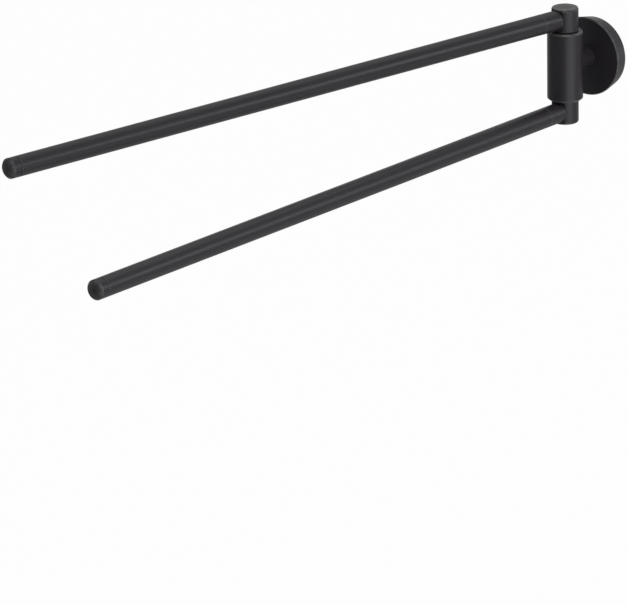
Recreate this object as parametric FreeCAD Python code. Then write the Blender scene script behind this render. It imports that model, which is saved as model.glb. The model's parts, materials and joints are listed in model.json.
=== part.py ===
import FreeCAD, Part
import math
import os

from FreeCAD import Placement, Rotation, Vector

# Wall-mounted towel rack with two swinging bars, one above the other.
# Millimetres, +Z up. The wall is the plane Y = 0 and the rack stands out of it towards -Y.
# The origin is the middle of the bracket's wall side, level with the middle of the barrel.

# Bars and the turned pieces at their ends
tube_radius = 6.0
tube_wall = 1.0
tube_length = 398.0
tube_bevel = 0.2
ferrule_length = 13.6
ferrule_chamfer = 0.8
end_cap_length = 6.4
end_cap_chamfer = 1.1
spigot_length = 10.0
ferrule_seam_width = 0.3
ferrule_seam_depth = 0.2
end_cap_seam_width = 0.5
end_cap_seam_depth = 0.4
stud_radius = 2.5
stud_reach = 9.7

# Swivel: a shoulder bolt in each end of the barrel, with the hub turning on it
shoulder_radius = 3.5
bush_wall = 0.75
counterbore_ledge = 1.1
seat_wall = 1.1
seat_depth = 1.5
under_tube = 0.8
over_tube = 0.1
floor_over_stud = 0.5
hub_chamfer = 0.3
hub_cap_rim = 0.8
hub_cap_chamfer = 0.6
hub_cap_plug = 0.7
pivot_head_height = 1.8
pivot_head_gap = 0.2
pivot_head_clearance = 0.6
pivot_thread_radius = 2.5
pivot_socket_width = 4.0
pivot_socket_depth = 2.2
thrust_washer_thickness = 0.4
thrust_washer_clearance = 0.4
friction_washer_thickness = 1.2
friction_washer_proud = 0.5
friction_washer_inset = 1.2
spring_thickness = 0.5
spring_rise = 0.4
recess_clearance = 0.3

# Barrel and stem
barrel_height = 41.8
barrel_step = 2.6
barrel_chamfer = 0.8
core_wall = 4.6
stem_radius = 6.2
stem_reach = 9.8
stem_chamfer = 0.3
stem_seat_margin = 0.15
stem_bolt_radius = 3.0
stem_bolt_head_radius = 5.0
stem_bolt_engagement = 8.6
stem_bolt_socket_width = 5.0
stem_bolt_socket_depth = 2.0

# Rosette, a cup that covers the bracket, and the bracket on the wall
rosette_radius = 23.7
rosette_flare = 1.9
rosette_thickness = 9.8
rosette_rim_wall = 3.3
rosette_front_wall = 3.2
rosette_chamfer = 0.5
bracket_gap = 0.2
bracket_groove_depth = 1.4
bracket_middle_radius = 6.2
wall_screw_hole_radius = 2.3
wall_screw_head_radius = 4.3
wall_screw_spacing = 24.0
grub_radius = 2.0
grub_tip_radius = 0.5
grub_recess = 0.6
grub_tip_gap = 0.1
grub_socket_width = 2.0
grub_socket_depth = 1.5
head_wall_gap = 2.6

# Clearances, measured on the radius
running_clearance = 0.05
fixed_clearance = 0.02
hole_run_out = 1.0

# How far each bar stands turned from straight out of the wall, about +Z, in degrees
rest_angles = {"upper": -10.3, "lower": -1.2}

# Radii of the swivel, worked out from the shoulder bolt outwards
bush_radius = shoulder_radius + running_clearance + bush_wall
counterbore_radius = bush_radius + counterbore_ledge
seat_distance = counterbore_radius + seat_wall
hub_radius = seat_distance + seat_depth
barrel_radius = hub_radius + barrel_step
friction_washer_radius = hub_radius - friction_washer_inset
recess_radius = friction_washer_radius + recess_clearance
spigot_radius = tube_radius - tube_wall - running_clearance

# Heights of the swivel, worked out from the middle of the barrel upwards
barrel_top = barrel_height / 2
spring_height = spring_thickness + spring_rise
recess_floor = barrel_top + friction_washer_proud - friction_washer_thickness - spring_height
pivot_thread_end = stem_bolt_radius + core_wall
hub_bottom = barrel_top + friction_washer_proud
bar_height = hub_bottom + under_tube + tube_radius
counterbore_depth = hub_cap_plug + pivot_head_gap + pivot_head_height + thrust_washer_thickness
hub_top = bar_height + max(tube_radius + over_tube, stud_radius + floor_over_stud + counterbore_depth)
counterbore_floor = hub_top - counterbore_depth
pivot_head_base = counterbore_floor + thrust_washer_thickness

# Distances out of the wall
rosette_back_radius = rosette_radius - rosette_flare
cavity_radius = rosette_back_radius - rosette_rim_wall
cavity_depth = rosette_thickness - rosette_front_wall
bracket_radius = cavity_radius - running_clearance
bracket_thickness = cavity_depth - bracket_gap
barrel_out = rosette_thickness + stem_reach + barrel_radius
stem_pocket_radius = stem_radius + running_clearance
stem_seat = math.sqrt(barrel_radius ** 2 - stem_pocket_radius ** 2) - stem_seat_margin
stem_end_out = barrel_out - stem_seat
barrel_middle = Vector(0, -barrel_out, 0)

# Distances along each bar from the barrel's axis
tube_start = seat_distance + ferrule_length
tube_end = tube_start + tube_length
bar_end = tube_end + end_cap_length

up = Vector(0, 0, 1)
down = Vector(0, 0, -1)
out_of_wall = Vector(0, -1, 0)


def turned(profile, start, direction):
    # A solid of revolution. Each point of the profile is (distance along the axis, radius).
    corners = [Vector(radius, 0, along) for along, radius in profile]
    face = Part.Face(Part.makePolygon(corners + corners[:1]))
    solid = face.revolve(Vector(0, 0, 0), up, 360)
    solid.Placement = Placement(start, Rotation(up, direction))
    return solid


def rod(radius, first, last, start, direction):
    return turned([(first, 0), (first, radius), (last, radius), (last, 0)], start, direction)


def ring(inner_radius, outer_radius, first, last, start, direction):
    corners = [(first, inner_radius), (first, outer_radius), (last, outer_radius), (last, inner_radius)]
    return turned(corners, start, direction)


def hex_socket(width, mouth, depth, start, direction):
    # The hole for a hexagon key, sunk by its depth from a mouth at that distance along the axis
    corner_radius = width / math.sqrt(3)
    angles = [math.radians(60 * corner) for corner in range(6)]
    corners = [Vector(corner_radius * math.cos(a), corner_radius * math.sin(a), mouth) for a in angles]
    prism = Part.Face(Part.makePolygon(corners + corners[:1])).extrude(Vector(0, 0, -depth))
    prism.Placement = Placement(start, Rotation(up, direction))
    return prism


def wall_bracket():
    # Round plate with two countersunk screw holes, a middle hole that clears the stem bolt's head
    # and a V groove round its edge for the rosette's grub screw
    middle = bracket_thickness / 2
    plate = turned([
        (0, bracket_middle_radius),
        (0, bracket_radius),
        (middle - bracket_groove_depth, bracket_radius),
        (middle, bracket_radius - bracket_groove_depth),
        (middle + bracket_groove_depth, bracket_radius),
        (bracket_thickness, bracket_radius),
        (bracket_thickness, bracket_middle_radius),
    ], Vector(0, 0, 0), out_of_wall)
    sink_depth = wall_screw_head_radius - wall_screw_hole_radius
    for side in (-1, 1):
        screw_hole = turned([
            (-hole_run_out, 0),
            (-hole_run_out, wall_screw_hole_radius),
            (bracket_thickness - sink_depth, wall_screw_hole_radius),
            (bracket_thickness, wall_screw_head_radius),
            (bracket_thickness + hole_run_out, wall_screw_head_radius),
            (bracket_thickness + hole_run_out, 0),
        ], Vector(side * wall_screw_spacing / 2, 0, 0), out_of_wall)
        plate = plate.cut(screw_hole)
    return plate


def rosette():
    # Cup over the bracket, a little wider at the front than at the wall, with a hole for the stem
    # bolt and one under the rim
    cup = turned([
        (0, cavity_radius),
        (0, rosette_back_radius),
        (rosette_thickness - rosette_chamfer, rosette_radius),
        (rosette_thickness, rosette_radius - rosette_chamfer),
        (rosette_thickness, stem_bolt_radius + fixed_clearance),
        (cavity_depth, stem_bolt_radius + fixed_clearance),
        (cavity_depth, cavity_radius),
    ], Vector(0, 0, 0), out_of_wall)
    inside = cavity_radius - hole_run_out
    outside = rosette_radius + hole_run_out
    return cup.cut(rod(grub_radius + fixed_clearance, inside, outside, grub_start(), down))


def grub_start():
    return Vector(0, -bracket_thickness / 2, 0)


def rosette_grub_screw():
    # Cone-point screw up through the rim, its point in the bracket's groove
    point = bracket_radius - bracket_groove_depth + grub_tip_gap
    outer_end = rosette_back_radius - grub_recess
    screw = turned([
        (point + grub_tip_radius, 0),
        (point + grub_tip_radius, grub_tip_radius),
        (point + grub_radius, grub_radius),
        (outer_end, grub_radius),
        (outer_end, 0),
    ], grub_start(), down)
    return screw.cut(hex_socket(grub_socket_width, outer_end, grub_socket_depth, grub_start(), down))


def stem():
    return turned([
        (rosette_thickness, stem_bolt_radius + fixed_clearance),
        (rosette_thickness, stem_radius - stem_chamfer),
        (rosette_thickness + stem_chamfer, stem_radius),
        (stem_end_out, stem_radius),
        (stem_end_out, stem_bolt_radius + fixed_clearance),
    ], Vector(0, 0, 0), out_of_wall)


def stem_bolt():
    # Low-head bolt from inside the rosette, through the stem, into the barrel
    bolt = turned([
        (head_wall_gap, 0),
        (head_wall_gap, stem_bolt_head_radius),
        (cavity_depth, stem_bolt_head_radius),
        (cavity_depth, stem_bolt_radius),
        (stem_end_out + stem_bolt_engagement, stem_bolt_radius),
        (stem_end_out + stem_bolt_engagement, 0),
    ], Vector(0, 0, 0), out_of_wall)
    head_face = Vector(0, -head_wall_gap, 0)
    into_wall = Vector(0, 1, 0)
    socket = hex_socket(stem_bolt_socket_width, 0, stem_bolt_socket_depth, head_face, into_wall)
    return bolt.cut(socket)


def barrel():
    body = turned([
        (-barrel_top, 0),
        (-barrel_top, barrel_radius - barrel_chamfer),
        (-barrel_top + barrel_chamfer, barrel_radius),
        (barrel_top - barrel_chamfer, barrel_radius),
        (barrel_top, barrel_radius - barrel_chamfer),
        (barrel_top, 0),
    ], barrel_middle, up)
    # Each end has a recess for the spring and washer, and a tapped hole for the pivot bolt
    tapped_radius = pivot_thread_radius + fixed_clearance
    for direction in (up, down):
        end_hole = turned([
            (pivot_thread_end - hole_run_out, 0),
            (pivot_thread_end - hole_run_out, tapped_radius),
            (recess_floor, tapped_radius),
            (recess_floor, recess_radius),
            (barrel_top + hole_run_out, recess_radius),
            (barrel_top + hole_run_out, 0),
        ], barrel_middle, direction)
        body = body.cut(end_hole)
    # The wall side has a flat-bottomed pocket for the stem, and its bolt's tapped hole
    stem_hole = turned([
        (rosette_thickness, 0),
        (rosette_thickness, stem_pocket_radius),
        (stem_end_out, stem_pocket_radius),
        (stem_end_out, stem_bolt_radius + fixed_clearance),
        (stem_end_out + stem_bolt_engagement + hole_run_out, stem_bolt_radius + fixed_clearance),
        (stem_end_out + stem_bolt_engagement + hole_run_out, 0),
    ], Vector(0, 0, 0), out_of_wall)
    return body.cut(stem_hole)


# The swivel pieces below are made for the upper bar, which points straight out of the wall.

def pivot_bolt():
    # Its shoulder clamps on the recess floor, so the hub under its head stays free to turn
    head_top = pivot_head_base + pivot_head_height
    bolt = turned([
        (pivot_thread_end, 0),
        (pivot_thread_end, pivot_thread_radius),
        (recess_floor, pivot_thread_radius),
        (recess_floor, shoulder_radius),
        (pivot_head_base, shoulder_radius),
        (pivot_head_base, counterbore_radius - pivot_head_clearance),
        (head_top, counterbore_radius - pivot_head_clearance),
        (head_top, 0),
    ], barrel_middle, up)
    return bolt.cut(hex_socket(pivot_socket_width, head_top, pivot_socket_depth, barrel_middle, up))


def disc_spring():
    # Shallow cone ring that pushes the friction washer up against the hub
    hole = shoulder_radius + recess_clearance
    return turned([
        (recess_floor, friction_washer_radius),
        (recess_floor + spring_thickness, friction_washer_radius),
        (recess_floor + spring_height, hole),
        (recess_floor + spring_rise, hole),
    ], barrel_middle, up)


def friction_washer():
    low = hub_bottom - friction_washer_thickness
    hole = shoulder_radius + running_clearance
    return ring(hole, friction_washer_radius, low, hub_bottom, barrel_middle, up)


def thrust_washer():
    hole = shoulder_radius + running_clearance
    edge = counterbore_radius - thrust_washer_clearance
    return ring(hole, edge, counterbore_floor, pivot_head_base, barrel_middle, up)


def hub():
    # Turned block, bored for the bush and counterbored for the bolt head, with a flat for the bar
    block = turned([
        (hub_bottom, bush_radius),
        (hub_bottom, hub_radius - hub_chamfer),
        (hub_bottom + hub_chamfer, hub_radius),
        (hub_top - hub_chamfer / 2, hub_radius),
        (hub_top, hub_radius - hub_chamfer / 2),
        (hub_top, counterbore_radius),
        (counterbore_floor, counterbore_radius),
        (counterbore_floor, bush_radius),
    ], barrel_middle, up)
    height = hub_top - hub_bottom + 2 * hole_run_out
    flat_corner = Vector(-hub_radius, -barrel_out - hub_radius - hole_run_out, hub_bottom - hole_run_out)
    flat = Part.makeBox(2 * hub_radius, seat_depth + hole_run_out, height, flat_corner)
    stud_hole = rod(stud_radius + fixed_clearance, 0, hub_radius, bar_middle(), out_of_wall)
    return block.cut(flat).cut(stud_hole)


def bar_middle():
    return barrel_middle + Vector(0, 0, bar_height)


def hub_bush():
    hole = shoulder_radius + running_clearance
    return ring(hole, bush_radius, hub_bottom, counterbore_floor, barrel_middle, up)


def hub_cap():
    # Thin lid over the bolt head, with a plug that fits the counterbore
    return turned([
        (hub_top - hub_cap_plug, 0),
        (hub_top - hub_cap_plug, counterbore_radius - fixed_clearance),
        (hub_top, counterbore_radius - fixed_clearance),
        (hub_top, hub_radius),
        (hub_top + hub_cap_rim - hub_cap_chamfer, hub_radius),
        (hub_top + hub_cap_rim, hub_radius - hub_cap_chamfer),
        (hub_top + hub_cap_rim, 0),
    ], barrel_middle, up)


def arm_stud():
    first = bush_radius + fixed_clearance
    return rod(stud_radius, first, seat_distance + stud_reach, bar_middle(), out_of_wall)


def ferrule():
    # Turned end that butts on the hub's flat, screws onto the stud and plugs into the tube
    hole = stud_radius + fixed_clearance
    hole_end = seat_distance + stud_reach + hole_run_out
    return turned([
        (seat_distance, hole),
        (seat_distance, tube_radius - ferrule_chamfer),
        (seat_distance + ferrule_chamfer, tube_radius),
        (tube_start - ferrule_seam_width, tube_radius),
        (tube_start - ferrule_seam_width, tube_radius - ferrule_seam_depth),
        (tube_start, tube_radius - ferrule_seam_depth),
        (tube_start, spigot_radius),
        (tube_start + spigot_length, spigot_radius),
        (tube_start + spigot_length, 0),
        (hole_end, 0),
        (hole_end, hole),
    ], bar_middle(), out_of_wall)


def bar():
    return turned([
        (tube_start, tube_radius - tube_wall),
        (tube_start, tube_radius - tube_bevel),
        (tube_start + tube_bevel, tube_radius),
        (tube_end - tube_bevel, tube_radius),
        (tube_end, tube_radius - tube_bevel),
        (tube_end, tube_radius - tube_wall),
    ], bar_middle(), out_of_wall)


def end_cap():
    return turned([
        (tube_end - spigot_length, 0),
        (tube_end - spigot_length, spigot_radius),
        (tube_end, spigot_radius),
        (tube_end, tube_radius - end_cap_seam_depth),
        (tube_end + end_cap_seam_width, tube_radius - end_cap_seam_depth),
        (tube_end + end_cap_seam_width, tube_radius),
        (bar_end - end_cap_chamfer, tube_radius),
        (bar_end, tube_radius - end_cap_chamfer),
        (bar_end, 0),
    ], bar_middle(), out_of_wall)


def save(name, shape):
    solids = shape.Solids
    if len(solids) != 1 or not shape.isValid():
        raise ValueError(f"{name} is not one valid solid")
    solids[0].exportStep(f"parts/{name}.step")
    print(f"{name}: {solids[0].Volume:.1f} mm3")


os.makedirs("parts", exist_ok=True)

for piece in (wall_bracket, rosette, rosette_grub_screw, stem, stem_bolt, barrel):
    save(piece.__name__, piece())

fixed_pieces = (pivot_bolt, disc_spring, friction_washer, thrust_washer)
swinging_pieces = (hub, hub_bush, hub_cap, arm_stud, ferrule, bar, end_cap)
for level, angle in rest_angles.items():
    for piece in fixed_pieces + swinging_pieces:
        shape = piece()
        if level == "lower":
            shape.rotate(barrel_middle, out_of_wall, 180)
        if piece in swinging_pieces:
            shape.rotate(barrel_middle, up, angle)
        save(f"{level}_{piece.__name__}", shape)
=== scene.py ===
import json
from math import acos, cos, degrees, pi, radians, sin, sqrt, tan

import bmesh
import bpy
from mathutils import Matrix, Vector


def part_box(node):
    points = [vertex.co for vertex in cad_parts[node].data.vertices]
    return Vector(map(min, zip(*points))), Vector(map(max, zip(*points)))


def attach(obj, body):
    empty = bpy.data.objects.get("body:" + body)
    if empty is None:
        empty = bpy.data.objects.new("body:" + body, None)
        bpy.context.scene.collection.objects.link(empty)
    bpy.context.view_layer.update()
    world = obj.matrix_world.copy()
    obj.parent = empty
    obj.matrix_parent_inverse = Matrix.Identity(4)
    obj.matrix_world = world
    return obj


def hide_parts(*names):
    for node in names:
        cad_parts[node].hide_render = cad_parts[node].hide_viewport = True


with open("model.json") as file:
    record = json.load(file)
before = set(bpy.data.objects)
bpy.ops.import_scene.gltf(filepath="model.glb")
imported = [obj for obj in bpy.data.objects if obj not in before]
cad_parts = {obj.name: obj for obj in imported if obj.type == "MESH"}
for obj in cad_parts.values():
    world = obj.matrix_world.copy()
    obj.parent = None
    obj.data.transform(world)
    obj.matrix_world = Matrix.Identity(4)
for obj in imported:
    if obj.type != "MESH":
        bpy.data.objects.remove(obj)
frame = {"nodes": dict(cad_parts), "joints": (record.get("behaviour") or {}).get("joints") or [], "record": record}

# Swivel towel rack in matt black. The wall is at y = 0 and the rack stands out from it towards -Y.
# Pieces and finishes are in millimetres. The studio and the camera's distance are in metres.
millimetre = 0.001
up = Vector((0, 0, 1))
outOfWall = Vector((0, -1, 0))
wallOrigin = Vector((0, 0, 0))
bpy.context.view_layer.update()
mounts = {mount["name"]: mount for mount in frame["record"]["mounts"]}
pivots = {joint["child"]: Vector(joint["pos_m"]) for joint in frame["joints"]}
barrelMiddle = Vector((pivots["upper_arm"].x, pivots["upper_arm"].y, 0))


class Wire:
    # One output of a node. Sums written with it become Math nodes in the same tree.
    def __init__(self, tree, socket):
        self.tree = tree
        self.socket = socket

    def also(self, name):
        # Another output of the same node
        return Wire(self.tree, self.socket.node.outputs[name])

    def maths(self, operation, *values):
        return addNode(self.tree, "ShaderNodeMath", {"operation": operation}, dict(enumerate(values)))

    def __add__(self, other):
        return self.maths("ADD", self, other)

    def __radd__(self, other):
        return self.maths("ADD", other, self)

    def __sub__(self, other):
        return self.maths("SUBTRACT", self, other)

    def __rsub__(self, other):
        return self.maths("SUBTRACT", other, self)

    def __mul__(self, other):
        return self.maths("MULTIPLY", self, other)

    def __rmul__(self, other):
        return self.maths("MULTIPLY", other, self)


def addNode(tree, kind, settings=None, sockets=None, output=0):
    # Settings go first, because an operation or data type decides which sockets there are
    node = tree.nodes.new(kind)
    for name, value in (settings or {}).items():
        setattr(node, name, value)
    for key, value in (sockets or {}).items():
        if isinstance(value, Wire):
            tree.links.new(value.socket, node.inputs[key])
        else:
            node.inputs[key].default_value = value
    return Wire(tree, node.outputs[output]) if node.outputs else None


def blendColours(tree, factor, first, second):
    # Sockets 6 and 7 take the two colours and output 2 gives the blend
    sockets = {0: factor, 6: (*first, 1) if isinstance(first, tuple) else first}
    sockets[7] = (*second, 1) if isinstance(second, tuple) else second
    return addNode(tree, "ShaderNodeMix", {"data_type": "RGBA"}, sockets, output=2)


def noise(tree, place, size, detail):
    # Size is about the width of one blot in millimetres
    sockets = {"Vector": place, "Scale": 1 / (size * millimetre), "Detail": detail}
    return addNode(tree, "ShaderNodeTexNoise", None, sockets)


def spread(tree, value, low, high, newLow=0.0, newHigh=1.0):
    # Turns the range from low to high into the new range, and holds it there
    sockets = {"Value": value, 1: low, 2: high, 3: newLow, 4: newHigh}
    return addNode(tree, "ShaderNodeMapRange", None, sockets)


def objectPlace(tree):
    return addNode(tree, "ShaderNodeTexCoord", output="Object")


def bumps(tree, height):
    # Height is in millimetres
    return addNode(tree, "ShaderNodeBump", None, {"Height": height, "Distance": millimetre})


def newMaterial(name):
    material = bpy.data.materials.new(name)
    material.use_nodes = True
    tree = material.node_tree
    tree.nodes.clear()
    return material, tree


def finishMaterial(tree, sockets):
    surface = addNode(tree, "ShaderNodeBsdfPrincipled", None, sockets)
    addNode(tree, "ShaderNodeOutputMaterial", None, {"Surface": surface})


coat = {
    "colour": (0.0250, 0.0220, 0.0268),
    "paleColour": (0.0325, 0.0292, 0.0342),
    "speckRange": (0.35, 0.75),
    "speckMost": 0.6,
    "speckShare": 0.6,
    "patchShare": 0.5,
    # Painted highlight: outside edges are painted paler, in a band broken up by noise
    "paintedHighlightColour": (0.165, 0.160, 0.166),
    "paintedHighlightShare": 0.9,
    "highlightBreakupSize": 2.2,
    "highlightBreakupDetail": 4.0,
    "highlightBreakupRange": (0.4, 0.7),
    "highlightBreakupLevels": (0.4, 0.9),
    # Painted shade: the insides of grooves are painted darker
    "grooveShadeColour": (0.004, 0.0036, 0.0042),
    "grooveShadeStrength": 0.9,
    "roughness": 0.38,
    "patchRoughness": 0.1,
    "grainRoughness": 0.12,
    "edgePolish": 0.1,
    "specular": 0.4,
    "grainSize": 0.35,
    "grainDetail": 3.0,
    "grainDepth": 0.012,
    "peelSize": 1.6,
    "peelDetail": 1.0,
    "peelDepth": 0.02,
    "patchSize": 26.0,
    "patchDetail": 3.0,
}


def makeCoat():
    # Fine matt powder coat: tiny grains, a slight orange peel, outside edges painted paler as a highlight, grooves
    # painted darker as shade
    material, tree = newMaterial("mattBlackCoat")
    place = objectPlace(tree)
    grain = noise(tree, place, coat["grainSize"], coat["grainDetail"])
    peel = noise(tree, place, coat["peelSize"], coat["peelDetail"])
    patch = noise(tree, place, coat["patchSize"], coat["patchDetail"])
    # Noise that breaks up the painted edge highlight
    highlightBreakup = noise(tree, place, coat["highlightBreakupSize"], coat["highlightBreakupDetail"])
    # The pieces' meshes carry "edge", from 1 on outside edges to -1 in the corners of grooves
    edge = addNode(tree, "ShaderNodeAttribute", {"attribute_name": "edge"}, output="Fac")
    # Painted highlight on outside edges, also used to make those edges a little smoother
    edgeHighlightAndPolish = spread(tree, edge, 0.0, 1.0) * spread(tree, highlightBreakup, *coat["highlightBreakupRange"], *coat["highlightBreakupLevels"])
    # Painted shade in the inside corners of grooves
    grooveShade = spread(tree, edge, -1.0, 0.0, 1.0, 0.0)
    speck = spread(tree, grain, *coat["speckRange"], 0.0, coat["speckMost"])
    pale = speck * coat["speckShare"] + patch * coat["patchShare"]
    colour = blendColours(tree, pale, coat["colour"], coat["paleColour"])
    # The painted edge highlight, then the painted groove shade, laid over the coat's colour
    colour = blendColours(tree, edgeHighlightAndPolish * coat["paintedHighlightShare"], colour, coat["paintedHighlightColour"])
    colour = blendColours(tree, grooveShade * coat["grooveShadeStrength"], colour, coat["grooveShadeColour"])
    roughness = coat["roughness"] + (patch - 0.5) * coat["patchRoughness"]
    roughness = roughness + (grain - 0.5) * coat["grainRoughness"] - edgeHighlightAndPolish * coat["edgePolish"]
    height = grain * coat["grainDepth"] + peel * coat["peelDepth"]
    finishMaterial(tree, {
        "Base Color": colour,
        "Roughness": roughness,
        "Specular IOR Level": coat["specular"],
        "Normal": bumps(tree, height),
    })
    return material


plating = {
    "colour": (0.55, 0.56, 0.57),
    "darkColour": (0.40, 0.40, 0.39),
    "roughness": 0.3,
    "blotSize": 5.0,
    "scratchSize": 0.5,
}

springFinish = {
    "colour": (0.22, 0.24, 0.30),
    "darkColour": (0.30, 0.26, 0.20),
    "roughness": 0.36,
    "blotSize": 3.0,
    "scratchSize": 0.4,
}

polish = {
    "blotDetail": 4.0,
    "blotRange": (0.35, 0.7),
    "blotRoughness": 0.06,
    "scratchStretch": (1, 1, 9),
    "scratchDetail": 2.0,
    "scratchRoughness": 0.2,
    "scratchDepth": 0.006,
}


def makePlating(name, settings):
    # Satin plating: cloudy tone, fine scratches and a little uneven polish
    material, tree = newMaterial(name)
    place = objectPlace(tree)
    blot = noise(tree, place, settings["blotSize"], polish["blotDetail"])
    sockets = {0: place, 1: polish["scratchStretch"]}
    stretched = addNode(tree, "ShaderNodeVectorMath", {"operation": "MULTIPLY"}, sockets)
    scratch = noise(tree, stretched, settings["scratchSize"], polish["scratchDetail"])
    cloud = spread(tree, blot, *polish["blotRange"])
    roughness = settings["roughness"] + (scratch - 0.5) * polish["scratchRoughness"]
    finishMaterial(tree, {
        "Base Color": blendColours(tree, cloud, settings["colour"], settings["darkColour"]),
        "Metallic": 1.0,
        "Roughness": roughness + cloud * polish["blotRoughness"],
        "Normal": bumps(tree, scratch * polish["scratchDepth"]),
    })
    return material


blackNylon = {"colour": (0.012, 0.012, 0.013), "paleColour": (0.026, 0.026, 0.027), "roughness": 0.55}
naturalNylon = {"colour": (0.72, 0.69, 0.60), "paleColour": (0.80, 0.78, 0.71), "roughness": 0.5}

moulding = {
    "cloudSize": 3.0,
    "cloudDetail": 3.0,
    "cloudRange": (0.35, 0.65),
    "cloudShare": 0.7,
    "textureSize": 0.25,
    "textureDetail": 2.0,
    "textureShare": 0.3,
    "textureDepth": 0.01,
    "textureRoughness": 0.15,
}


def makeNylon(name, settings):
    # Moulded nylon: cloudy colour and a faint mould texture
    material, tree = newMaterial(name)
    place = objectPlace(tree)
    cloud = noise(tree, place, moulding["cloudSize"], moulding["cloudDetail"])
    cloud = spread(tree, cloud, *moulding["cloudRange"])
    texture = noise(tree, place, moulding["textureSize"], moulding["textureDetail"])
    pale = cloud * moulding["cloudShare"] + texture * moulding["textureShare"]
    finishMaterial(tree, {
        "Base Color": blendColours(tree, pale, settings["colour"], settings["paleColour"]),
        "Roughness": settings["roughness"] + (texture - 0.5) * moulding["textureRoughness"],
        "Normal": bumps(tree, texture * moulding["textureDepth"]),
    })
    return material


finishes = {
    "matt_black_coat": makeCoat(),
    "plated_steel": makePlating("platedSteel", plating),
    "spring_steel": makePlating("springSteel", springFinish),
    "black_nylon": makeNylon("blackNylon", blackNylon),
    "natural_nylon": makeNylon("naturalNylon", naturalNylon),
}
print("finishes made:", ", ".join(finishes))


def reach(nodeName, start, direction):
    # Where a CAD node starts and ends along a line, and its largest radius about it, in millimetres
    points = [vertex.co - start for vertex in frame["nodes"][nodeName].data.vertices]
    along = [point.dot(direction) for point in points]
    radius = max((point - direction * far).length for point, far in zip(points, along))
    return min(along) / millimetre, max(along) / millimetre, radius / millimetre


turning = {
    "sides": 128,
    "arcSteps": 4,
    "edgeBand": 0.3,
    "bandsInRun": 6,
    "flatBlend": 0.25,
    "cutMargin": 1.0,
}


def roundCorners(corners):
    # Each corner is (along, radius, rounding). Gives (along, radius, edge), with edge 1 on outside
    # arcs and -1 on inside arcs. Long runs get a point near each end, so that edges fade out quickly.
    count = len(corners)
    flat = [Vector((along, radius)) for along, radius, rounding in corners]
    area = sum(flat[i - 1].x * flat[i].y - flat[i].x * flat[i - 1].y for i in range(count))
    runs = []
    for i in range(count):
        here = flat[i]
        before = (flat[i - 1] - here).normalized()
        after = (flat[(i + 1) % count] - here).normalized()
        rounding = corners[i][2]
        opening = acos(max(-1, min(1, before.dot(after))))
        if rounding == 0:
            runs.append([(here, 0.0)])
            continue
        turn = before.x * after.y - before.y * after.x
        outside = 1.0 if turn * area < 0 else -1.0
        reachBack = rounding / tan(opening / 2)
        middle = here + (before + after).normalized() * rounding / sin(opening / 2)
        first = here + before * reachBack - middle
        last = here + after * reachBack - middle
        swing = pi - opening
        arc = []
        for step in range(turning["arcSteps"] + 1):
            share = step / turning["arcSteps"]
            point = (first * sin((1 - share) * swing) + last * sin(share * swing)) / sin(swing)
            arc.append((middle + point, outside))
        runs.append(arc)
    profile = []
    band = turning["edgeBand"]
    for i, run in enumerate(runs):
        profile += run
        start = run[-1][0]
        gap = runs[(i + 1) % count][0][0] - start
        if gap.length > turning["bandsInRun"] * band and start.y > 0 and (start + gap).y > 0:
            profile.append((start + gap.normalized() * band, 0.0))
            profile.append((start + gap - gap.normalized() * band, 0.0))
    return [(point.x, point.y, edge) for point, edge in profile]


def chamfer(along, radius, size, rounding, side):
    # The two corners of a chamfered outside edge. Side is 1 where the piece ends and -1 where it starts.
    corners = [(along - side * size, radius, rounding), (along, radius - size, rounding)]
    return corners[::side]


def turnMesh(name, corners, start, direction, angles=None, flatAt=None, facing=None):
    # Spins the profile about a line. Angle 0 faces "facing", and flatAt mills a flat there.
    facing = facing or (up if abs(direction.z) < 0.5 else outOfWall)
    sideways = direction.cross(facing)
    spin = Matrix((facing, sideways, direction)).transposed()
    count = turning["sides"]
    angles = angles or [2 * pi * i / count for i in range(count)]
    shape = bmesh.new()
    edgeLayer = shape.verts.layers.float.new("edge")
    rings = []
    for along, radius, edge in roundCorners(corners):
        ring = []
        for angle in angles[:1] if radius == 0 else angles:
            far = radius
            if flatAt and cos(angle) > 0:
                far = softLimit(radius, flatAt / cos(angle))
            local = Vector((far * cos(angle), far * sin(angle), along)) * millimetre
            vertex = shape.verts.new(start + spin @ local)
            vertex[edgeLayer] = edge
            ring.append(vertex)
        rings.append(ring)
    for ring, following in zip(rings, rings[1:] + rings[:1]):
        if len(ring) == 1 and len(following) == 1:
            continue
        for side in range(len(angles)):
            after = (side + 1) % len(angles)
            face = [ring[side], ring[after]] if len(ring) > 1 else ring[:]
            face += [following[after], following[side]] if len(following) > 1 else following
            shape.faces.new(face)
    bmesh.ops.recalc_face_normals(shape, faces=shape.faces)
    mesh = bpy.data.meshes.new(name)
    shape.to_mesh(mesh)
    shape.free()
    piece = bpy.data.objects.new(name, mesh)
    bpy.context.scene.collection.objects.link(piece)
    return piece


def softLimit(value, limit):
    # The smaller of the two, with a rounded change-over
    blend = turning["flatBlend"]
    overlap = max(blend - abs(value - limit), 0) / blend
    return min(value, limit) - overlap * overlap * blend / 4


def cutAway(piece, *cutters):
    for cutter in cutters:
        boolean = piece.modifiers.new("cut", "BOOLEAN")
        boolean.operation = "DIFFERENCE"
        boolean.solver = "EXACT"
        boolean.object = cutter
    bpy.context.view_layer.update()
    evaluated = piece.evaluated_get(bpy.context.evaluated_depsgraph_get())
    mesh = bpy.data.meshes.new_from_object(evaluated)
    mesh.name = piece.name
    piece.modifiers.clear()
    piece.data = mesh
    for cutter in cutters:
        bpy.data.objects.remove(cutter)


def hexKey(name, width, first, last, start, direction):
    # A hexagonal prism, as a cutter for a key socket
    corner = width / sqrt(3)
    profile = [(first, 0, 0), (first, corner, 0), (last, corner, 0), (last, 0, 0)]
    return turnMesh(name, profile, start, direction, angles=[pi * i / 3 for i in range(6)])


shading = {"weldDistance": 0.0001, "sharpAngle": 32, "faceWeight": 100}


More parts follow.
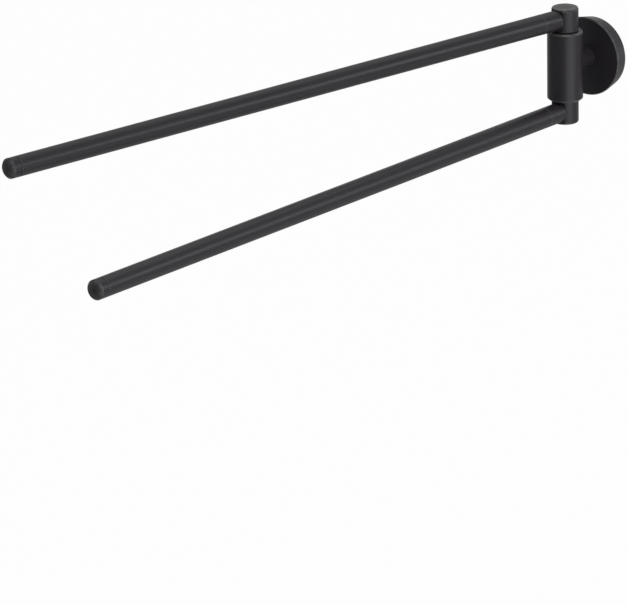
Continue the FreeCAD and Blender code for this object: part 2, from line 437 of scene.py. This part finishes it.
def fit(piece, body, slotName, *nodes):
    # Shades, paints and mounts a finished piece on its body, in place of its CAD nodes
    shape = bmesh.new()
    shape.from_mesh(piece.data)
    bmesh.ops.remove_doubles(shape, verts=shape.verts, dist=shading["weldDistance"] * millimetre)
    bmesh.ops.recalc_face_normals(shape, faces=shape.faces)
    for face in shape.faces:
        face.smooth = True
    for edge in shape.edges:
        edge.smooth = not edge.is_manifold or degrees(edge.calc_face_angle()) < shading["sharpAngle"]
    shape.to_mesh(piece.data)
    shape.free()
    piece.data.materials.clear()
    piece.data.materials.append(finishes[slotName])
    weigh = piece.modifiers.new("weigh", "WEIGHTED_NORMAL")
    weigh.keep_sharp = True
    weigh.weight = shading["faceWeight"]
    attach(piece, body)
    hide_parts(*nodes)


bracket = {
    "middleHole": 6.2,
    "edge": 0.25,
    "grooveDepth": 1.4,
    "grooveMouthEdge": 0.1,
    "grooveFloorEdge": 0.15,
    "screwHead": 4.3,
    "sinkDepth": 0.1,
    "holeBackChamfer": 0.2,
    "holeEdge": 0.1,
}


def makeBracket():
    first, last, radius = reach("wall_bracket", wallOrigin, outOfWall)
    middle = (first + last) / 2
    depth = bracket["grooveDepth"]
    edge = bracket["edge"]
    plate = turnMesh("bracketPlate", [
        (first, bracket["middleHole"], edge),
        (first, radius, edge),
        (middle - depth, radius, bracket["grooveMouthEdge"]),
        (middle, radius - depth, bracket["grooveFloorEdge"]),
        (middle + depth, radius, bracket["grooveMouthEdge"]),
        (last, radius, edge),
        (last, bracket["middleHole"], edge),
    ], wallOrigin, outOfWall)
    screws = mounts["wall_screws"]["dims"]
    hole = screws["hole_r_mm"]
    head = bracket["screwHead"]
    holeEdge = bracket["holeEdge"]
    backChamfer = bracket["holeBackChamfer"]
    sinkEnd = last - bracket["sinkDepth"]
    margin = turning["cutMargin"]
    cutters = []
    for side in (-1, 1):
        centre = Vector((side * screws["spacing_x_mm"] / 2 * millimetre, 0, 0))
        cutters.append(turnMesh("screwHole", [
            (first - margin, 0, 0),
            (first - margin, hole + margin + backChamfer, 0),
            (first + backChamfer, hole, holeEdge),
            (sinkEnd - head + hole, hole, holeEdge),
            (sinkEnd, head, holeEdge),
            (last + margin, head, 0),
            (last + margin, 0, 0),
        ], centre, outOfWall))
    cutAway(plate, *cutters)
    fit(plate, "wall_mount", "plated_steel", "wall_bracket")


rosette = {
    "flare": 1.9,
    "rimWall": 3.3,
    "frontWall": 3.2,
    "boltHole": 3.02,
    "grubGap": 0.02,
    "frontChamfer": 0.5,
    "frontEdge": 0.15,
    "backEdge": 0.3,
    "innerEdge": 0.6,
}


def makeRosette():
    first, last, radius = reach("rosette", wallOrigin, outOfWall)
    backRadius = radius - rosette["flare"]
    cavity = backRadius - rosette["rimWall"]
    cavityEnd = last - rosette["frontWall"]
    cover = turnMesh("rosetteCover", [
        (first, cavity, rosette["backEdge"]),
        (first, backRadius, rosette["backEdge"]),
        *chamfer(last, radius, rosette["frontChamfer"], rosette["frontEdge"], 1),
        (last, rosette["boltHole"], 0),
        (cavityEnd, rosette["boltHole"], 0),
        (cavityEnd, cavity, rosette["innerEdge"]),
    ], wallOrigin, outOfWall)
    start = grubStart()
    hole = reach("rosette_grub_screw", start, -up)[2] + rosette["grubGap"]
    margin = turning["cutMargin"]
    grubHole = turnMesh("grubHole", [
        (cavity - margin, 0, 0),
        (cavity - margin, hole, 0),
        (radius + margin, hole, 0),
        (radius + margin, 0, 0),
    ], start, -up)
    cutAway(cover, grubHole)
    fit(cover, "wall_mount", "matt_black_coat", "rosette")


grub = {
    "point": 0.5,
    "pointEdge": 0.1,
    "coneEdge": 0.2,
    "edge": 0.15,
    "socketWidth": 2.0,
    "socketDepth": 1.5,
}


def grubStart():
    # The grub screw points up from under the rosette's rim
    low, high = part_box("rosette_grub_screw")
    return Vector(((low.x + high.x) / 2, (low.y + high.y) / 2, 0))


def makeGrubScrew():
    start = grubStart()
    first, last, radius = reach("rosette_grub_screw", start, -up)
    screw = turnMesh("grubScrew", [
        (first, 0, 0),
        (first, grub["point"], grub["pointEdge"]),
        (first + radius - grub["point"], radius, grub["coneEdge"]),
        (last, radius, grub["edge"]),
        (last, 0, 0),
    ], start, -up)
    socketStart = last - grub["socketDepth"]
    socketEnd = last + turning["cutMargin"]
    cutAway(screw, hexKey("grubKey", grub["socketWidth"], socketStart, socketEnd, start, -up))
    fit(screw, "wall_mount", "plated_steel", "rosette_grub_screw")


stem = {"bore": 3.02, "rosetteEdge": 0.1, "edge": 0.15}


def makeStem():
    first, last, radius = reach("stem", wallOrigin, outOfWall)
    neck = turnMesh("stemNeck", [
        (first, stem["bore"], 0),
        (first, radius, stem["rosetteEdge"]),
        (last, radius, stem["edge"]),
        (last, stem["bore"], 0),
    ], wallOrigin, outOfWall)
    fit(neck, "wall_mount", "matt_black_coat", "stem")


stemBolt = {
    "shank": 3.0,
    "headThickness": 4.0,
    "edge": 0.4,
    "underHeadEdge": 0.15,
    "socketWidth": 5.0,
    "socketDepth": 2.0,
}


def makeStemBolt():
    first, last, radius = reach("stem_bolt", wallOrigin, outOfWall)
    headEnd = first + stemBolt["headThickness"]
    bolt = turnMesh("stemBolt", [
        (first, 0, 0),
        (first, radius, stemBolt["edge"]),
        (headEnd, radius, stemBolt["underHeadEdge"]),
        (headEnd, stemBolt["shank"], 0),
        (last, stemBolt["shank"], stemBolt["edge"]),
        (last, 0, 0),
    ], wallOrigin, outOfWall)
    socketStart = first - turning["cutMargin"]
    socketEnd = first + stemBolt["socketDepth"]
    width = stemBolt["socketWidth"]
    cutAway(bolt, hexKey("stemBoltKey", width, socketStart, socketEnd, wallOrigin, outOfWall))
    fit(bolt, "wall_mount", "plated_steel", "stem_bolt")


barrel = {
    "chamfer": 0.8,
    "edge": 0.2,
    "recessRadius": 7.1,
    "recessDepth": 1.6,
    "recessEdge": 0.2,
    "recessFloorEdge": 0.1,
    "tappedRadius": 2.52,
    "tappedEnd": 6.6,
    "pocketGap": 0.05,
    "boltHole": 3.02,
    "boltRunOut": 1.0,
}


def makeBarrel():
    first, last, radius = reach("barrel", barrelMiddle, up)
    rim = last - barrel["recessDepth"]
    tapped = barrel["tappedEnd"]
    upperHalf = [
        (tapped, 0, 0),
        (tapped, barrel["tappedRadius"], 0),
        (rim, barrel["tappedRadius"], 0),
        (rim, barrel["recessRadius"], barrel["recessFloorEdge"]),
        (last, barrel["recessRadius"], barrel["recessEdge"]),
        *chamfer(last, radius, barrel["chamfer"], barrel["edge"], 1)[::-1],
    ]
    lowerHalf = [(-z, r, edge) for z, r, edge in reversed(upperHalf)]
    body = turnMesh("barrelBody", upperHalf + lowerHalf, barrelMiddle, up)
    stemFirst, stemLast, stemRadius = reach("stem", wallOrigin, outOfWall)
    pocketRadius = stemRadius + barrel["pocketGap"]
    holeEnd = reach("stem_bolt", wallOrigin, outOfWall)[1] + barrel["boltRunOut"]
    pocket = turnMesh("stemPocket", [
        (stemFirst, 0, 0),
        (stemFirst, pocketRadius, 0),
        (stemLast, pocketRadius, 0),
        (stemLast, barrel["boltHole"], 0),
        (holeEnd, barrel["boltHole"], 0),
        (holeEnd, 0, 0),
    ], wallOrigin, outOfWall)
    cutAway(body, pocket)
    fit(body, "wall_mount", "matt_black_coat", "barrel")


makeBracket()
makeRosette()
makeGrubScrew()
makeStem()
makeStemBolt()
makeBarrel()
print("wall side made")


washer = {"hole": 3.55, "edge": 0.12}


def makeFrictionWasher(level, away):
    node = level + "_friction_washer"
    first, last, radius = reach(node, barrelMiddle, away)
    ring = turnMesh(level + "FrictionWasher", [
        (first, washer["hole"], washer["edge"]),
        (first, radius, washer["edge"]),
        (last, radius, washer["edge"]),
        (last, washer["hole"], washer["edge"]),
    ], barrelMiddle, away)
    fit(ring, "wall_mount", "black_nylon", node)


hub = {
    "bore": 4.3,
    "counterbore": 5.4,
    "counterboreDepth": 3.1,
    "barrelEdge": 0.3,
    "capEdge": 0.18,
    "studHole": 2.52,
    "coarseStep": 3,
    "fineStep": 0.5,
    "fineSteps": 10,
    "leastStep": 0.8,
}


def hubAngles(flatAt, radius):
    # Coarse steps all round, and fine ones near the two long edges of the flat, in degrees
    edgeAngle = degrees(acos(flatAt / radius))
    count = hub["fineSteps"]
    fine = [edgeAngle + step * hub["fineStep"] for step in range(-count, count + 1)]
    coarse = []
    for angle in range(0, 181, hub["coarseStep"]):
        if min(abs(angle - near) for near in fine) > hub["leastStep"]:
            coarse.append(angle)
    oneSide = sorted(fine + coarse)
    return [radians(a) for a in oneSide] + [radians(-a) for a in reversed(oneSide) if 0 < a < 180]


def makeHub(level, away, arm):
    node = level + "_hub"
    first, last, radius = reach(node, barrelMiddle, away)
    flatAt = reach(node, barrelMiddle, arm)[1]
    floor = last - hub["counterboreDepth"]
    block = turnMesh(level + "Hub", [
        (first, hub["bore"], 0),
        (first, radius, hub["barrelEdge"]),
        (last, radius, hub["capEdge"]),
        (last, hub["counterbore"], 0),
        (floor, hub["counterbore"], 0),
        (floor, hub["bore"], 0),
    ], barrelMiddle, away, hubAngles(flatAt, radius), flatAt, arm)
    studHole = turnMesh("studHole", [
        (0, 0, 0),
        (0, hub["studHole"], 0),
        (radius, hub["studHole"], 0),
        (radius, 0, 0),
    ], pivots[level + "_arm"], arm)
    cutAway(block, studHole)
    fit(block, level + "_arm", "matt_black_coat", node)


hubCap = {
    "plugRadius": 5.38,
    "plugEdge": 0.1,
    "chamfer": 0.6,
    "edge": 0.15,
    "seamDepth": 0.35,
    "seamEdge": 0.04,
}


def makeHubCap(level, away):
    node = level + "_hub_cap"
    first, last, radius = reach(node, barrelMiddle, away)
    seat = reach(level + "_hub", barrelMiddle, away)[1]
    seamEnd = last - hubCap["chamfer"]
    groove = radius - hubCap["seamDepth"]
    lid = turnMesh(level + "HubCap", [
        (first, 0, 0),
        (first, hubCap["plugRadius"], hubCap["plugEdge"]),
        (seat, hubCap["plugRadius"], 0),
        (seat, groove, hubCap["seamEdge"]),
        (seamEnd, groove, hubCap["seamEdge"]),
        *chamfer(last, radius, hubCap["chamfer"], hubCap["edge"], 1),
        (last, 0, 0),
    ], barrelMiddle, away)
    fit(lid, level + "_arm", "matt_black_coat", node)


tube = {"wall": 1.0, "hubEdge": 0.12, "tipEdge": 0.25, "innerEdge": 0.1}
spigot = {"gap": 0.05, "edge": 0.3}

ferrule = {
    "chamfer": 0.8,
    "edge": 0.2,
    "studHole": 2.52,
    "studHoleEnd": 17.2,
    "seamWidth": 0.3,
    "seamDepth": 0.2,
    "seamEdge": 0.12,
    "grooveEdge": 0.04,
}


def makeFerrule(level, arm):
    # A round bar end on the hub, with a spigot in the tube
    node = level + "_ferrule"
    start = pivots[level + "_arm"]
    first, last, radius = reach(node, start, arm)
    tubeStart = reach(level + "_bar", start, arm)[0]
    seamStart = tubeStart - ferrule["seamWidth"]
    groove = radius - ferrule["seamDepth"]
    spigotRadius = radius - tube["wall"] - spigot["gap"]
    barRoot = turnMesh(level + "Ferrule", [
        (first, ferrule["studHole"], 0),
        *chamfer(first, radius, ferrule["chamfer"], ferrule["edge"], -1),
        (seamStart, radius, ferrule["seamEdge"]),
        (seamStart, groove, ferrule["grooveEdge"]),
        (tubeStart, groove, ferrule["grooveEdge"]),
        (tubeStart, spigotRadius, 0),
        (last, spigotRadius, spigot["edge"]),
        (last, 0, 0),
        (ferrule["studHoleEnd"], 0, 0),
        (ferrule["studHoleEnd"], ferrule["studHole"], 0),
    ], start, arm)
    fit(barRoot, level + "_arm", "matt_black_coat", node)


def makeBar(level, arm):
    node = level + "_bar"
    start = pivots[level + "_arm"]
    first, last, radius = reach(node, start, arm)
    inside = radius - tube["wall"]
    bar = turnMesh(level + "Bar", [
        (first, inside, tube["innerEdge"]),
        (first, radius, tube["hubEdge"]),
        (last, radius, tube["tipEdge"]),
        (last, inside, tube["innerEdge"]),
    ], start, arm)
    fit(bar, level + "_arm", "matt_black_coat", node)


endCap = {"chamfer": 1.1, "edge": 0.2, "seamWidth": 0.6, "seamDepth": 0.45, "grooveEdge": 0.04}


def makeEndCap(level, arm):
    node = level + "_end_cap"
    start = pivots[level + "_arm"]
    first, last, radius = reach(node, start, arm)
    tubeEnd = reach(level + "_bar", start, arm)[1]
    seamEnd = tubeEnd + endCap["seamWidth"]
    groove = radius - endCap["seamDepth"]
    spigotRadius = radius - tube["wall"] - spigot["gap"]
    cap = turnMesh(level + "EndCap", [
        (first, 0, 0),
        (first, spigotRadius, spigot["edge"]),
        (tubeEnd, spigotRadius, 0),
        (tubeEnd, groove, endCap["grooveEdge"]),
        (seamEnd, groove, endCap["grooveEdge"]),
        (seamEnd, radius, 0),
        *chamfer(last, radius, endCap["chamfer"], endCap["edge"], 1),
        (last, 0, 0),
    ], start, arm)
    fit(cap, level + "_arm", "matt_black_coat", node)


for level, away in (("upper", up), ("lower", -up)):
    arm = Vector(mounts[level + "_bar_outside"]["axis"]).normalized()
    makeFrictionWasher(level, away)
    makeHub(level, away, arm)
    makeHubCap(level, away)
    makeFerrule(level, arm)
    makeBar(level, arm)
    makeEndCap(level, arm)
    print(level, "arm made")

# The pieces inside keep their CAD meshes and only get their finish
for part in frame["record"]["subparts"]:
    for materialSlot in frame["nodes"][part["node"]].material_slots:
        materialSlot.material = finishes[part["material_slot"]]
print("inner parts painted")


shot = {
    "distance": 5.3627,
    "azimuth": 36.831,
    "elevation": 17.0,
    "heading": 38.502,
    "pitch": 18.486,
    "roll": -0.672,
    "lens": 523.32,
    "sensorWidth": 36,
    "farthest": 50,
}


def directionAt(azimuth, elevation):
    # Azimuth 0 is straight out of the wall and 90 is on the right
    flat = Vector((sin(radians(azimuth)), -cos(radians(azimuth)), 0)) * cos(radians(elevation))
    return flat + up * sin(radians(elevation))


def placeCamera():
    # A long lens, out from the wall on the right and a little above the rack
    camera = bpy.data.objects.new("camera", bpy.data.cameras.new("camera"))
    bpy.context.scene.collection.objects.link(camera)
    away = directionAt(shot["azimuth"], shot["elevation"])
    place = barrelMiddle + away * shot["distance"]
    aim = Matrix.Rotation(radians(shot["heading"]), 4, "Z")
    aim = aim @ Matrix.Rotation(radians(90 - shot["pitch"]), 4, "X")
    aim = aim @ Matrix.Rotation(radians(shot["roll"]), 4, "Z")
    camera.matrix_world = Matrix.Translation(place) @ aim
    camera.data.lens = shot["lens"]
    camera.data.sensor_width = shot["sensorWidth"]
    camera.data.clip_end = shot["farthest"]
    bpy.context.scene.camera = camera


studio = {
    "floorHeight": -0.8,
    "floorWidth": 14.0,
    "floorFront": -0.5,
    "floorBack": 9.0,
    "floorColour": (0.85, 0.85, 0.845),
    "shadowShare": 0.02,
    "frontLevel": 0.24,
    "backLevel": 0.42,
    "backdropTowards": (-0.62, 0.78, 0.0),
    "backdropInWorld": (0.9, 1.06),  # cosines from where reflections start to see white
    "backdropOnFloor": (1.0, 4.5),  # metres from where they do on the floor
    "lampDistance": 2.2,
    "lamps": {
        "sideLow": {"azimuth": 72, "elevation": -12, "size": (2.2, 0.8), "level": 2.1},
        "sideHigh": {"azimuth": 70, "elevation": 32, "size": (2.2, 0.8), "level": 1.4},
        "overhead": {"azimuth": 40, "elevation": 74, "size": (1.0, 1.0), "level": 2.0},
        "strip": {"azimuth": 120, "elevation": 16, "size": (0.9, 0.4), "level": 4.6},
        "lowStrip": {"azimuth": 138, "elevation": 4, "size": (0.7, 0.4), "level": 1.4},
        "highBack": {"azimuth": 195, "elevation": 50, "size": (1.6, 0.9), "level": 0.6},
    },
}


def whiteShare(tree, backdrop):
    # 1 for the camera and clear glass, the backdrop's share for reflections, 0 for what lights the rack
    camera = addNode(tree, "ShaderNodeLightPath", output="Is Camera Ray")
    return camera + camera.also("Is Transmission Ray") + camera.also("Is Glossy Ray") * backdrop


def towards(tree, place, direction):
    sockets = {0: place, 1: direction}
    return addNode(tree, "ShaderNodeVectorMath", {"operation": "DOT_PRODUCT"}, sockets, output="Value")


def lightWorld():
    # The wall side is lighter than the front. A reflection sees the white backdrop too.
    world = bpy.data.worlds.new("studio")
    bpy.context.scene.world = world
    world.use_nodes = True
    tree = world.node_tree
    tree.nodes.clear()
    place = addNode(tree, "ShaderNodeTexCoord", output="Generated")
    wallSide = towards(tree, place, -outOfWall)
    level = spread(tree, wallSide, 0.0, 1.0, studio["frontLevel"], studio["backLevel"])
    aside = towards(tree, place, studio["backdropTowards"])
    white = whiteShare(tree, spread(tree, aside, *studio["backdropInWorld"]))
    strength = level + white * (1 - level)
    sockets = {"Color": (1, 1, 1, 1), "Strength": strength}
    background = addNode(tree, "ShaderNodeBackground", None, sockets)
    addNode(tree, "ShaderNodeOutputWorld", None, {"Surface": background})


def layFloor():
    half = studio["floorWidth"] / 2
    height = studio["floorHeight"]
    front = studio["floorFront"]
    back = studio["floorBack"]
    shape = bmesh.new()
    corners = [(-half, front), (half, front), (half, back), (-half, back)]
    shape.faces.new([shape.verts.new((x, y, height)) for x, y in corners])
    mesh = bpy.data.meshes.new("floor")
    shape.to_mesh(mesh)
    shape.free()
    floor = bpy.data.objects.new("floor", mesh)
    bpy.context.scene.collection.objects.link(floor)
    material, tree = newMaterial("paleFloor")
    paint = addNode(tree, "ShaderNodeBsdfDiffuse", None, {"Color": (*studio["floorColour"], 1)})
    white = addNode(tree, "ShaderNodeEmission", None, {"Color": (1, 1, 1, 1), "Strength": 1.0})
    place = addNode(tree, "ShaderNodeNewGeometry", output="Position")
    aside = towards(tree, place, studio["backdropTowards"])
    backdrop = spread(tree, aside, *studio["backdropOnFloor"])
    factor = whiteShare(tree, backdrop) * (1 - studio["shadowShare"])
    face = addNode(tree, "ShaderNodeMixShader", None, {0: factor, 1: paint, 2: white})
    # Nothing of it shows from below, so that the underside of the rack can be looked at
    under = addNode(tree, "ShaderNodeNewGeometry", output="Backfacing")
    nothing = addNode(tree, "ShaderNodeBsdfTransparent")
    surface = addNode(tree, "ShaderNodeMixShader", None, {0: under, 1: face, 2: nothing})
    addNode(tree, "ShaderNodeOutputMaterial", None, {"Surface": surface})
    floor.data.materials.append(material)


def hangLamps():
    # A lamp's level of 1 is as bright as the white backdrop
    for name, lamp in studio["lamps"].items():
        light = bpy.data.lights.new(name, "AREA")
        light.shape = "RECTANGLE"
        light.size, light.size_y = lamp["size"]
        light.energy = lamp["level"] * pi * light.size * light.size_y
        holder = bpy.data.objects.new(name, light)
        bpy.context.scene.collection.objects.link(holder)
        away = directionAt(lamp["azimuth"], lamp["elevation"])
        holder.location = barrelMiddle + away * studio["lampDistance"]
        holder.rotation_mode = "QUATERNION"
        holder.rotation_quaternion = away.to_track_quat("Z", "Y")
        holder.visible_camera = False


placeCamera()
lightWorld()
layFloor()
hangLamps()
bpy.context.scene.view_settings.view_transform = "Standard"
print("camera, floor and lights placed")
